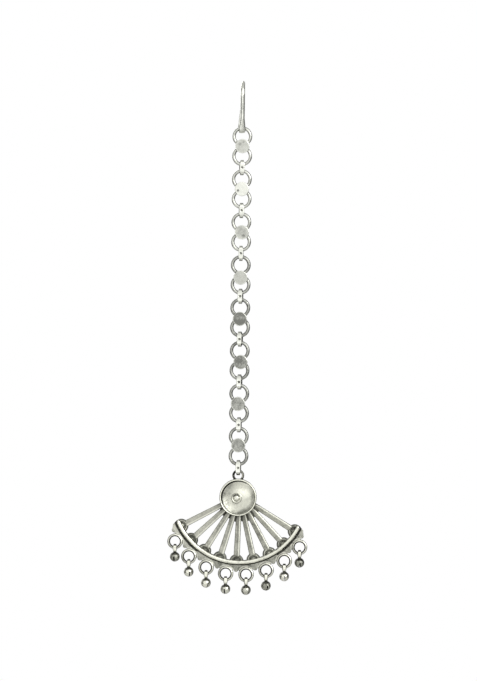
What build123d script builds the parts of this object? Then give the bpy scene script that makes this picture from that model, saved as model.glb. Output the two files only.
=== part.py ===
from build123d import *
import os
from math import asin, cos, degrees, radians, sin, sqrt

# Maang tikka (forehead jewel) of old silver, hanging free from its hair hook.
# Millimetres. +Z is up, +X is to the viewer's right and the front faces -Y.
# The origin is the inside top of the hook's bend, where the hair carries the jewel.

os.makedirs("parts", exist_ok=True)

# Hair hook: one wire, bent over backward at the top. Its foot is hammered flat, and
# bent round the first link below and up the back of the shank.
HOOK_WIRE = 1.3
BEND_RADIUS = 3.4            # centreline of the open bend at the top
FREE_LEG_FLARE = 7.0         # degrees by which the free leg opens out
FREE_LEG_LENGTH = 4.6        # its straight stretch
FOOT_WIDTH = 1.9             # of the flat part
FOOT_THICKNESS = 0.55
FOOT_CORNER = 0.2
FOOT_TAPER = 3.0             # stretch over which the wire goes from round to flat
TAPER_START_SIZE = 1.18      # the taper's upper end, a square with very round corners
TAPER_START_CORNER = 0.54
TAPER_OVERLAP = 0.05         # how far that end runs up into the wire
EYE_RADIUS = 1.2             # centreline of the closed eye
EYE_SKEW = 9.0               # degrees by which the eye is twisted about the shank
EYE_TURN = 188.0             # degrees that the foot goes round to make the eye
TAIL_LENGTH = 5.2            # end of the foot, which narrows up the back of the shank
TAIL_TIP_SCALE = 0.55        # size of its tip, as a part of the flat section

# Station links: two soldered rings with a flat disc over their joint
STATIONS = 8
STATION_PITCH = 12.43
FIRST_DISC_Z = -17.65
RING_RADIUS = 2.4            # centreline
RING_WIRE = 1.0
RING_OFFSET = 2.85           # disc centre to ring centre
DISC_RADIUS = 2.05
DISC_BACK = 0.3              # the disc's back, in front of the ring plane
DISC_THICKNESS = 0.6
DISC_EDGE = 0.12
DISC_SHIFTS = [              # each disc off the rings' joint: to the right, and up
    (0.06, 0.0),
    (0.06, 0.0),
    (0.2, -0.13),
    (-0.03, -0.84),
    (-0.12, -0.34),
    (0.23, -0.44),
    (-0.36, -0.13),
    (-0.12, 0.29),
]

# Connectors: small closed links of flat strip that stand edge-on between the rings
STRIP_WIDTH = 1.4
STRIP_THICKNESS = 0.46
STRIP_EDGE = 0.16
CONNECTOR_END_RADIUS = 0.78  # inside of each rounded end
CONNECTOR_TURNS = [5.0, 4.0, -2.0, -8.0, -10.0, -10.0, -7.0, -6.0]  # about the plumb line
DIMPLE_RADIUS = 0.22         # mark of the butt joint at mid length

# Pendant, whose depths are positive toward the front
PENDANT_BACK = -0.5
TOP_RING_RADIUS = 1.4        # centreline
TOP_RING_WIRE = 0.7
TOP_RING_HANG = 0.5          # seat on the flat bail link, above the top ring's centre
TOP_RING_DROP = 6.35         # top ring centre to cup centre
CUP_RADIUS = 5.4
CUP_WALL = 0.53
CUP_RIM_DEPTH = 1.3          # where the rounded rim begins
CUP_GROOVE_DEPTH = 0.55
DISH_LIP_RADIUS = 4.5
DISH_LIP_WIDTH = 0.15
DISH_LIP_DEPTH = 0.9
DISH_MID_RADIUS = 3.1
DISH_MID_DEPTH = 0.33
DISH_FLOOR_RADIUS = 1.42
DISH_FLOOR_DEPTH = 0.12
BOSS_RIGHT = -0.45           # the boss sits off the cup's middle
BOSS_UP = -0.25
BOSS_RADIUS = 1.42
BOSS_WALL = 0.3
BOSS_DEPTH = 0.5
BOSS_BALL_RADIUS = 0.95
BOSS_BALL_DEPTH = 0.44       # ball's middle

# The fan is soldered on a little off the cup's middle and askew
FAN_RIGHT = 0.47
FAN_UP = 0.43
FAN_TURN = 2.1               # degrees clockwise

BLADES = 9
BLADE_PITCH = 15.0
BLADE_START_R = 5.05         # from the cup's middle, inside the cup's wall
BLADE_END_R = 17.5           # from the fan's middle, as all that follows
BLADE_START_WIDTH = 1.5
BLADE_END_WIDTH = 1.8
BLADE_BACK = -0.4
BLADE_LOW_EDGE = 0.05
BLADE_CREST = 0.7
BLADE_CREST_WIDTH = 0.28

SCALLOP_CENTRE_R = 19.0
SCALLOP_LAYERS = [           # outer radius, inner radius, front depth
    (2.05, 0.0, 0.15),
    (1.75, 1.3, 0.42),
    (0.8, 0.0, 0.5),
]

ARC_RADIUS = 19.23
ARC_WIRE = 1.25
ARC_DEPTH = 0.4
ARC_HALF_ANGLE = 64.2

BAND_INNER_R = 19.0
BAND_OUTER_R = 21.15
BAND_FRONT = 0.15
BAND_HALF_ANGLE = 66.0       # at the start of its slanted ends
BAND_SLANT_START_R = 19.6
BAND_OUTER_HALF_ANGLE = 63.9 # where the slants meet its outer edge
CUSP_TIP_R = 22.1
CUSP_HALF_WIDTH = 1.6
CUSP_OVERLAP = 0.05          # how far the cusps run into the band
FAN_REACH = 60.0             # beyond all of the fan

# Fringe: round loops on the band, each with one little slit bell
LOOPS = 8
LOOP_PITCH = 14.9
LOOP_CENTRE_R = 22.9
LOOP_RADIUS = 1.825          # centreline
LOOP_WIRE = 0.85
BELL_RADIUS = 1.425
BELL_WALL = 0.36
BELL_SLIT = 0.3
BELL_SLIT_TOP = 0.15         # the slits end this far below the bell's middle
BELL_HANG = 2.675            # loop wire to bell centre
BELL_EYE_RADIUS = 0.72       # inside of the eye's rounded ends
BELL_EYE_STRIP = 0.33
BELL_EYE_WIDTH = 1.2
BELL_EYE_STRETCH = 0.4       # distance between the centres of the eye's two ends
BELL_TURNS = [62.0, 15.0, 30.0, 75.0, 45.0, 20.0, 5.0, 55.0]  # slits' turn, left to right

# Places that follow from the sizes above
ring_wire_offset = RING_OFFSET + RING_RADIUS
connector_span = STATION_PITCH - 2 * ring_wire_offset
first_wire_z = FIRST_DISC_Z + ring_wire_offset
last_wire_z = FIRST_DISC_Z - STATION_PITCH * (STATIONS - 1) - ring_wire_offset
top_ring_z = last_wire_z - connector_span - CONNECTOR_END_RADIUS - TOP_RING_HANG
cup_plane = Plane(origin=(0, 0, top_ring_z - TOP_RING_DROP), x_dir=(1, 0, 0), z_dir=(0, -1, 0))
cup_axis = Axis(cup_plane.origin, cup_plane.z_dir)
fan_turn = radians(FAN_TURN)
fan_plane = Plane(
    origin=cup_plane.origin + Vector(FAN_RIGHT, 0, FAN_UP),
    x_dir=(cos(fan_turn), 0, -sin(fan_turn)),
    z_dir=cup_plane.z_dir,
)
fan_axis = Axis(fan_plane.origin, fan_plane.z_dir)


def outward(angle):
    """Direction of a fan spoke, counted from the fan's middle line, positive to the left."""
    turn = radians(angle)
    return fan_plane.x_dir * -sin(turn) + fan_plane.y_dir * -cos(turn)


def radial_plane(angle):
    """Plane through the fan's axis: x runs outward along a spoke, y to the front."""
    spoke = outward(angle)
    return Plane(origin=fan_plane.origin, x_dir=spoke, z_dir=spoke.cross(fan_plane.z_dir))


def spoke_plane(angle, radius):
    """Plane square to a spoke: x runs across it to the right, y to the front."""
    return Plane(
        origin=fan_plane.origin + outward(angle) * radius,
        x_dir=outward(angle - 90),
        z_dir=outward(angle),
    )


def blade_start(angle):
    """Distance along a spoke from the fan's middle to where its blade enters the cup's wall."""
    offset = fan_plane.origin - cup_plane.origin
    along = offset.dot(outward(angle))
    across = offset.dot(outward(angle - 90))
    return sqrt(BLADE_START_R**2 - across**2) - along


def spread(count, pitch):
    """Angles of a fan of equal steps about straight down, from left to right."""
    return [pitch * ((count - 1) / 2 - number) for number in range(count)]


def polar_point(angle, radius):
    """Point in the fan's plane on a spoke, at a distance from the fan's middle."""
    turn = radians(angle)
    return (-radius * sin(turn), -radius * cos(turn))


def save(piece, name):
    """Name a finished piece and write it as a node of its own."""
    piece.label = name
    export_step(piece, f"parts/{name}.step")


# ---- Hair hook -------------------------------------------------------------
# The bend and the eye are two arcs, and the straight shank is tangent to both.
bend_centre_z = HOOK_WIRE / 2 - BEND_RADIUS
lean = asin((BEND_RADIUS - EYE_RADIUS) / (bend_centre_z - first_wire_z))
shank_direction = Vector(0, sin(lean), -cos(lean))
shank_back = Vector(0, cos(lean), sin(lean))
skew = radians(EYE_SKEW)
eye_back = shank_back * cos(skew) + Vector(-sin(skew), 0, 0)
eye_centre = Vector(0, 0, first_wire_z) + (eye_back - shank_back) * EYE_RADIUS


def bend_point(angle):
    """Point of the open bend, with the angle in degrees from straight back."""
    turn = radians(angle)
    return Vector(0, BEND_RADIUS * cos(turn), bend_centre_z + BEND_RADIUS * sin(turn))


def eye_point(angle):
    """Point of the eye, with the angle in degrees from the shank's end."""
    turn = radians(angle)
    return eye_centre + (shank_direction * sin(turn) - eye_back * cos(turn)) * EYE_RADIUS


bend_start = FREE_LEG_FLARE
bend_end = 180 + degrees(lean)
flare = radians(FREE_LEG_FLARE)
free_tip = bend_point(bend_start) + Vector(0, sin(flare), -cos(flare)) * FREE_LEG_LENGTH
flat_start = eye_point(0)
wire_end = flat_start - shank_direction * FOOT_TAPER
taper_start = wire_end - shank_direction * TAPER_OVERLAP
tail_turn = radians(EYE_TURN)
tail_start = eye_point(EYE_TURN)
tail_direction = shank_direction * cos(tail_turn) + eye_back * sin(tail_turn)
tail_tip = tail_start + tail_direction * TAIL_LENGTH
across_foot = shank_direction.cross(eye_back)

with BuildPart() as hair_hook:
    with BuildLine() as wire_path:
        Line(free_tip, bend_point(bend_start))
        ThreePointArc(
            bend_point(bend_start), bend_point((bend_start + bend_end) / 2), bend_point(bend_end)
        )
        Line(bend_point(bend_end), wire_end)
    with BuildSketch(Plane(origin=free_tip, z_dir=wire_path.line % 0)):
        Circle(HOOK_WIRE / 2)
    sweep()
    with Locations(free_tip):
        Sphere(HOOK_WIRE / 2)
    with BuildSketch(Plane(origin=taper_start, x_dir=across_foot, z_dir=shank_direction)):
        RectangleRounded(TAPER_START_SIZE, TAPER_START_SIZE, TAPER_START_CORNER)
    with BuildSketch(Plane(origin=flat_start, x_dir=across_foot, z_dir=shank_direction)):
        RectangleRounded(FOOT_WIDTH, FOOT_THICKNESS, FOOT_CORNER)
    loft()
    with BuildSketch(Plane(origin=flat_start, x_dir=across_foot, z_dir=shank_direction)):
        RectangleRounded(FOOT_WIDTH, FOOT_THICKNESS, FOOT_CORNER)
    revolve(axis=Axis(eye_centre, across_foot), revolution_arc=EYE_TURN)
    with BuildSketch(Plane(origin=tail_start, x_dir=across_foot, z_dir=tail_direction)):
        RectangleRounded(FOOT_WIDTH, FOOT_THICKNESS, FOOT_CORNER)
    with BuildSketch(Plane(origin=tail_tip, x_dir=across_foot, z_dir=tail_direction)):
        RectangleRounded(
            FOOT_WIDTH * TAIL_TIP_SCALE,
            FOOT_THICKNESS * TAIL_TIP_SCALE,
            FOOT_CORNER * TAIL_TIP_SCALE,
        )
    loft()
save(hair_hook.part, "hair_hook")

# ---- Station links ---------------------------------------------------------
for number, (disc_right, disc_up) in enumerate(DISC_SHIFTS):
    joint_z = FIRST_DISC_Z - STATION_PITCH * number
    with BuildPart() as station_link:
        with Locations((0, 0, joint_z + RING_OFFSET), (0, 0, joint_z - RING_OFFSET)):
            Torus(RING_RADIUS, RING_WIRE / 2, rotation=(90, 0, 0))
        with BuildSketch(Plane.XZ.offset(DISC_BACK)):
            with Locations((disc_right, joint_z + disc_up)):
                Circle(DISC_RADIUS)
        disc = extrude(amount=DISC_THICKNESS)
        fillet(disc.edges().sort_by(Axis.Y)[0], DISC_EDGE)
    save(station_link.part, f"station_link_{number + 1}")

# ---- Connectors ------------------------------------------------------------
# The last one is the pendant's bail link.
for number in range(STATIONS):
    upper_wire_z = FIRST_DISC_Z - STATION_PITCH * number - ring_wire_offset
    middle_z = upper_wire_z - connector_span / 2
    front = CONNECTOR_END_RADIUS + STRIP_THICKNESS
    with BuildPart() as connector:
        with BuildSketch(Plane.YZ.offset(-STRIP_WIDTH / 2)):
            with Locations((0, middle_z)):
                SlotCenterToCenter(connector_span, 2 * front, rotation=90)
                SlotCenterToCenter(
                    connector_span, 2 * CONNECTOR_END_RADIUS, rotation=90, mode=Mode.SUBTRACT
                )
        extrude(amount=STRIP_WIDTH)
        fillet(connector.faces().filter_by(Axis.X).edges(), STRIP_EDGE)
        with Locations((0, -front, middle_z)):
            Sphere(DIMPLE_RADIUS, mode=Mode.SUBTRACT)
    turned_connector = connector.part.rotate(Axis.Z, CONNECTOR_TURNS[number])
    save(turned_connector, f"connector_{number + 1}")

# ---- Pendant ---------------------------------------------------------------
# Soldered into one piece: top ring, cup, blades, scallops, arc wire, band and loops.
rim_inner = CUP_RADIUS - CUP_WALL
rim_crown = CUP_RIM_DEPTH + CUP_WALL / 2
cusp_half_angle = degrees(CUSP_HALF_WIDTH / BAND_OUTER_R)

with BuildPart() as pendant:
    with BuildSketch(Plane(origin=cup_plane.origin, x_dir=(1, 0, 0), z_dir=(0, 0, -1))):
        with BuildLine():
            Polyline(
                (0, PENDANT_BACK),
                (CUP_RADIUS, PENDANT_BACK),
                (CUP_RADIUS, CUP_RIM_DEPTH),
            )
            ThreePointArc(
                (CUP_RADIUS, CUP_RIM_DEPTH),
                (CUP_RADIUS - CUP_WALL / 2, rim_crown),
                (rim_inner, CUP_RIM_DEPTH),
            )
            Polyline(
                (rim_inner, CUP_RIM_DEPTH),
                (rim_inner, CUP_GROOVE_DEPTH),
                (DISH_LIP_RADIUS + DISH_LIP_WIDTH, DISH_LIP_DEPTH),
                (DISH_LIP_RADIUS, DISH_LIP_DEPTH),
            )
            ThreePointArc(
                (DISH_LIP_RADIUS, DISH_LIP_DEPTH),
                (DISH_MID_RADIUS, DISH_MID_DEPTH),
                (DISH_FLOOR_RADIUS, DISH_FLOOR_DEPTH),
            )
            Polyline(
                (DISH_FLOOR_RADIUS, DISH_FLOOR_DEPTH),
                (0, DISH_FLOOR_DEPTH),
                (0, PENDANT_BACK),
            )
        make_face()
    revolve(axis=cup_axis)
    with BuildSketch(cup_plane):
        with Locations((BOSS_RIGHT, BOSS_UP)):
            Circle(BOSS_RADIUS)
            Circle(BOSS_RADIUS - BOSS_WALL, mode=Mode.SUBTRACT)
    extrude(amount=BOSS_DEPTH)
    with Locations(cup_plane.offset(BOSS_BALL_DEPTH)):
        with Locations((BOSS_RIGHT, BOSS_UP)):
            Sphere(BOSS_BALL_RADIUS)
    with Locations((0, 0, top_ring_z)):
        Torus(TOP_RING_RADIUS, TOP_RING_WIRE / 2, rotation=(90, 0, 0))

    for angle in spread(BLADES, BLADE_PITCH):
        ends = ((blade_start(angle), BLADE_START_WIDTH), (BLADE_END_R, BLADE_END_WIDTH))
        for radius, width in ends:
            with BuildSketch(spoke_plane(angle, radius)):
                Polygon(
                    (-width / 2, BLADE_BACK),
                    (width / 2, BLADE_BACK),
                    (width / 2, BLADE_CREST),
                    (width / 2 - BLADE_CREST_WIDTH, BLADE_CREST),
                    (-width / 2, BLADE_LOW_EDGE),
                    align=None,
                )
        loft(ruled=True)

    for outer_radius, inner_radius, front in SCALLOP_LAYERS:
        with BuildSketch(fan_plane.offset(PENDANT_BACK)):
            for angle in spread(BLADES, BLADE_PITCH):
                with Locations(polar_point(angle, SCALLOP_CENTRE_R)):
                    Circle(outer_radius)
                    if inner_radius:
                        Circle(inner_radius, mode=Mode.SUBTRACT)
            Circle(ARC_RADIUS, mode=Mode.INTERSECT)
        extrude(amount=front - PENDANT_BACK)

    with BuildSketch(radial_plane(ARC_HALF_ANGLE)):
        with Locations((ARC_RADIUS, ARC_DEPTH)):
            Circle(ARC_WIRE / 2)
    revolve(axis=fan_axis, revolution_arc=2 * ARC_HALF_ANGLE)
    arc_tips = [polar_point(angle, ARC_RADIUS) for angle in (ARC_HALF_ANGLE, -ARC_HALF_ANGLE)]
    with Locations(fan_plane.offset(ARC_DEPTH)):
        with Locations(*arc_tips):
            Sphere(ARC_WIRE / 2)

    with BuildSketch(fan_plane.offset(PENDANT_BACK)):
        Circle(BAND_OUTER_R)
        for angle in spread(LOOPS + 1, LOOP_PITCH):
            Polygon(
                polar_point(angle, CUSP_TIP_R),
                polar_point(angle + cusp_half_angle, BAND_OUTER_R - CUSP_OVERLAP),
                polar_point(angle - cusp_half_angle, BAND_OUTER_R - CUSP_OVERLAP),
                align=None,
            )
        Circle(BAND_INNER_R, mode=Mode.SUBTRACT)
        Polygon(
            (0, 0),
            polar_point(BAND_HALF_ANGLE, BAND_SLANT_START_R),
            polar_point(BAND_OUTER_HALF_ANGLE, BAND_OUTER_R),
            polar_point(BAND_OUTER_HALF_ANGLE, FAN_REACH),
            polar_point(-BAND_OUTER_HALF_ANGLE, FAN_REACH),
            polar_point(-BAND_OUTER_HALF_ANGLE, BAND_OUTER_R),
            polar_point(-BAND_HALF_ANGLE, BAND_SLANT_START_R),
            align=None,
            mode=Mode.INTERSECT,
        )
        for angle in spread(LOOPS, LOOP_PITCH):
            with Locations(polar_point(angle, LOOP_CENTRE_R)):
                Circle(LOOP_RADIUS, mode=Mode.SUBTRACT)
    extrude(amount=BAND_FRONT - PENDANT_BACK)

    with Locations(fan_plane):
        with Locations(*[polar_point(angle, LOOP_CENTRE_R) for angle in spread(LOOPS, LOOP_PITCH)]):
            Torus(LOOP_RADIUS, LOOP_WIRE / 2)
save(pendant.part, "pendant")

# ---- Bells -----------------------------------------------------------------
# Each hangs plumb by a strip eye from the lowest point of its loop.
eye_outer = BELL_EYE_RADIUS + BELL_EYE_STRIP
for number, angle in enumerate(spread(LOOPS, LOOP_PITCH)):
    loop_centre = fan_plane.origin + outward(angle) * LOOP_CENTRE_R
    wire_z = loop_centre.Z - LOOP_RADIUS
    bell_z = wire_z - BELL_HANG
    with BuildPart() as bell:
        with BuildSketch(Plane.YZ.offset(loop_centre.X - BELL_EYE_WIDTH / 2)):
            with Locations((0, wire_z - BELL_EYE_STRETCH / 2)):
                SlotCenterToCenter(BELL_EYE_STRETCH, 2 * eye_outer, rotation=90)
        extrude(amount=BELL_EYE_WIDTH)
        with Locations((loop_centre.X, 0, bell_z)):
            Sphere(BELL_RADIUS)
        with BuildSketch(Plane.YZ.offset(loop_centre.X - BELL_EYE_WIDTH / 2)):
            with Locations((0, wire_z - BELL_EYE_STRETCH / 2)):
                SlotCenterToCenter(BELL_EYE_STRETCH, 2 * BELL_EYE_RADIUS, rotation=90)
        extrude(amount=BELL_EYE_WIDTH, mode=Mode.SUBTRACT)
        with Locations((loop_centre.X, 0, bell_z)):
            Sphere(BELL_RADIUS - BELL_WALL, mode=Mode.SUBTRACT)
        with Locations((loop_centre.X, 0, bell_z - BELL_SLIT_TOP)):
            for turn in (BELL_TURNS[number], BELL_TURNS[number] + 90):
                Box(
                    2 * BELL_RADIUS,
                    BELL_SLIT,
                    BELL_RADIUS,
                    rotation=(0, 0, turn),
                    align=(Align.CENTER, Align.CENTER, Align.MAX),
                    mode=Mode.SUBTRACT,
                )
    save(bell.part, f"bell_{number + 1}")
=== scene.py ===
from math import asin, atan2, cos, degrees, hypot, pi, radians, sin, sqrt

import bpy
from mathutils import Matrix, Vector


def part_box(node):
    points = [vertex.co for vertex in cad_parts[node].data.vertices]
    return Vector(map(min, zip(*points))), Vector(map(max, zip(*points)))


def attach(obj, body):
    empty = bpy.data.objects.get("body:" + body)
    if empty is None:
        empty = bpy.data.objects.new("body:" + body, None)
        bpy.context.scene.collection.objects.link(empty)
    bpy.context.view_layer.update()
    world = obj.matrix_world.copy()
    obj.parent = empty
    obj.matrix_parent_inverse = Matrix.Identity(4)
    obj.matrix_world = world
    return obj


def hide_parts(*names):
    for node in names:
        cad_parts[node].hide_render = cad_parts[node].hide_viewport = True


# Maang tikka (forehead jewel) of old silver, hanging free from its hair hook.
# Metres. +Z is up, +X is to the viewer's right and the front faces -Y.
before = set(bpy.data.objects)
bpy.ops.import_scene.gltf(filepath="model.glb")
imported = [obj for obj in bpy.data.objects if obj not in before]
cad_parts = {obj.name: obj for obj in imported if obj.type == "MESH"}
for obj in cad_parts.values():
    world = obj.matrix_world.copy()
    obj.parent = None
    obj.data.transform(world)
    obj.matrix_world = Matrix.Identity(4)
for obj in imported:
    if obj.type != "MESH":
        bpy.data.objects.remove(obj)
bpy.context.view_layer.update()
MM = 0.001

# ---- Hair hook ---------------------------------------------------------------
# One length of round silver wire, bent over backward at the top to sit in the hair.
# Its foot is hammered flat, closed round the first link and laid up behind the shank.
HOOK_WIRE = 1.3 * MM
BEND_RADIUS = 3.4 * MM
FREE_LEG_FLARE = radians(7.0)
FREE_LEG_LENGTH = 4.6 * MM
FOOT_WIDTH = 1.9 * MM
FOOT_THICKNESS = 0.55 * MM
FOOT_TAPER = 3.0 * MM
EYE_RADIUS = 1.2 * MM
EYE_SKEW = radians(9.0)
EYE_TURN = radians(188.0)
TAIL_LENGTH = 5.2 * MM
TAIL_TIP_SCALE = 0.55
RING_WIRE = 1.0 * MM          # of the chain rings, round the first of which the foot is closed
WIRE_SIDES = 28
WORN = 0.08                   # film on wire that is rubbed all the time
HOOK_FILM_AND_HIGHLIGHTS = [                 # down to so far below the top, in mm, and the film there; bare stretches are painted highlights
    (2.0, 0.15), (4.0, 0.0), (6.0, 0.2), (8.0, 0.4), (9.2, 0.2), (12.0, 0.1), (16.0, 0.25),
]


def let_go():
    """Nothing selected, and out of edit mode."""
    if bpy.context.object and bpy.context.object.mode != "OBJECT":
        bpy.ops.object.mode_set(mode="OBJECT")
    bpy.ops.object.select_all(action="DESELECT")


def take(*pieces):
    """These pieces selected, and the first one active."""
    let_go()
    for piece in pieces:
        piece.select_set(True)
    bpy.context.view_layer.objects.active = pieces[0]
    return pieces[0]


def settle(piece):
    """The piece's place, turn and size go into its mesh."""
    take(piece)
    bpy.ops.object.transform_apply(location=True, rotation=True, scale=True)
    return piece


def work(piece, kind, **settings):
    """One modifier, set and applied."""
    take(piece)
    modifier = piece.modifiers.new(kind.lower(), kind)
    for name, value in settings.items():
        setattr(modifier, name, value)
    bpy.ops.object.modifier_apply(modifier=modifier.name)
    return piece


def pick(piece, test):
    """In edit mode, with only the points chosen whose place passes the test."""
    take(piece)
    bpy.ops.object.mode_set(mode="EDIT")
    bpy.ops.mesh.select_mode(type="VERT")
    bpy.ops.mesh.select_all(action="DESELECT")
    bpy.ops.object.mode_set(mode="OBJECT")
    for vertex in piece.data.vertices:
        vertex.select = test(vertex.co)
    bpy.ops.object.mode_set(mode="EDIT")


def wire_end(point, direction, wire):
    """The flat end of a round wire, in edit mode and ready to be drawn on."""
    let_go()
    bpy.ops.mesh.primitive_circle_add(
        vertices=WIRE_SIDES,
        radius=wire / 2,
        fill_type="NGON",
        location=point,
        rotation=Vector(direction).to_track_quat("Z", "Y").to_euler(),
    )
    piece = settle(bpy.context.object)
    bpy.ops.object.mode_set(mode="EDIT")
    bpy.ops.mesh.select_all(action="SELECT")
    return piece


def draw_on(offset):
    """Draws the chosen face out in a straight line."""
    bpy.ops.mesh.extrude_region_move(TRANSFORM_OT_translate={"value": offset})


def bend_round(centre, axis, angle, steps):
    """Carries the chosen face round an arc, right-handed about the axis."""
    bpy.ops.mesh.spin(steps=steps, angle=-angle, center=centre, axis=axis)


def bead(centre, radius, squash=(1.0, 1.0, 1.0)):
    """A small ball, or a flattened one, for a rounded wire end or a pool of solder."""
    let_go()
    bpy.ops.mesh.primitive_uv_sphere_add(
        segments=24, ring_count=16, radius=radius, location=centre, scale=squash
    )
    return settle(bpy.context.object)


def solder(name, parts, grain, melt, forge=0.0, ends=0.0):
    """Runs the parts together into one skin of that grain, in mm, and melts its edges.
    The nearer ends is to 1, the less the faces that look up or down count as flanks."""
    take(*parts)
    if len(parts) > 1:
        bpy.ops.object.join()
    piece = settle(bpy.context.object)
    take(piece)
    bpy.ops.object.mode_set(mode="EDIT")
    bpy.ops.mesh.select_all(action="SELECT")
    bpy.ops.mesh.normals_make_consistent(inside=False)
    bpy.ops.object.mode_set(mode="OBJECT")
    piece.scale = (1 / MM,) * 3
    settle(piece)
    work(piece, "REMESH", mode="VOXEL", voxel_size=grain, adaptivity=0.0)
    work(piece, "SMOOTH", factor=0.5, iterations=melt)
    if forge:
        work(piece, "DISPLACE", texture=hand_forging, strength=forge, mid_level=0.5)
    piece.scale = (MM,) * 3
    settle(piece)
    bpy.ops.object.shade_smooth()
    piece.name = name
    piece.data.name = name
    mark_crests(piece, ends)
    tarnish(piece, lambda place: WORN)
    tarnish(piece, lambda place: 0.0, "grime_and_shade")
    return piece


def mark_crests(piece, ends):
    """Notes on every point how squarely it faces the front or the back."""
    crest = piece.data.attributes.new("crest", "FLOAT", "POINT")
    for vertex in piece.data.vertices:
        crest.data[vertex.index].value = hypot(vertex.normal.y, ends * vertex.normal.z)


def tarnish(piece, film_at, mark="film"):
    """Notes on every point how thick the grey film, or the black of dirt, oxide and painted shade,
    is there.
    """
    notes = piece.data.attributes.get(mark)
    if notes is None:
        notes = piece.data.attributes.new(mark, "FLOAT", "POINT")
    for vertex in piece.data.vertices:
        notes.data[vertex.index].value = film_at(vertex.co)


hand_forging = bpy.data.textures.new("hand_forging", "CLOUDS")
hand_forging.noise_scale = 1.3
hand_forging.noise_depth = 2


def node(tree, kind, settings=None, **inputs):
    """One shader node, with its settings and its inputs set or linked."""
    made = tree.nodes.new("ShaderNode" + kind)
    for name, value in (settings or {}).items():
        setattr(made, name, value)
    for name, value in inputs.items():
        key = int(name[1:]) if name[0] == "n" and name[1:].isdigit() else name.replace("_", " ")
        if isinstance(value, bpy.types.NodeSocket):
            tree.links.new(value, made.inputs[key])
        else:
            made.inputs[key].default_value = value
    return made


def sum_up(tree, operation, first, second=0.0, clamp=False):
    """One step of arithmetic."""
    return node(
        tree, "Math", {"operation": operation, "use_clamp": clamp}, n0=first, n1=second
    ).outputs[0]


def ease(tree, value, low, high, start=0.0, end=1.0):
    """A value carried smoothly from one range to another."""
    return node(
        tree,
        "MapRange",
        {"interpolation_type": "SMOOTHSTEP"},
        Value=value,
        From_Min=low,
        From_Max=high,
        To_Min=start,
        To_Max=end,
    ).outputs[0]


def blend_colours(tree, amount, first, second):
    """Two colours mixed."""
    mixed = node(tree, "Mix", {"data_type": "RGBA"}, n0=amount, n6=first, n7=second)
    return mixed.outputs[2]


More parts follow.
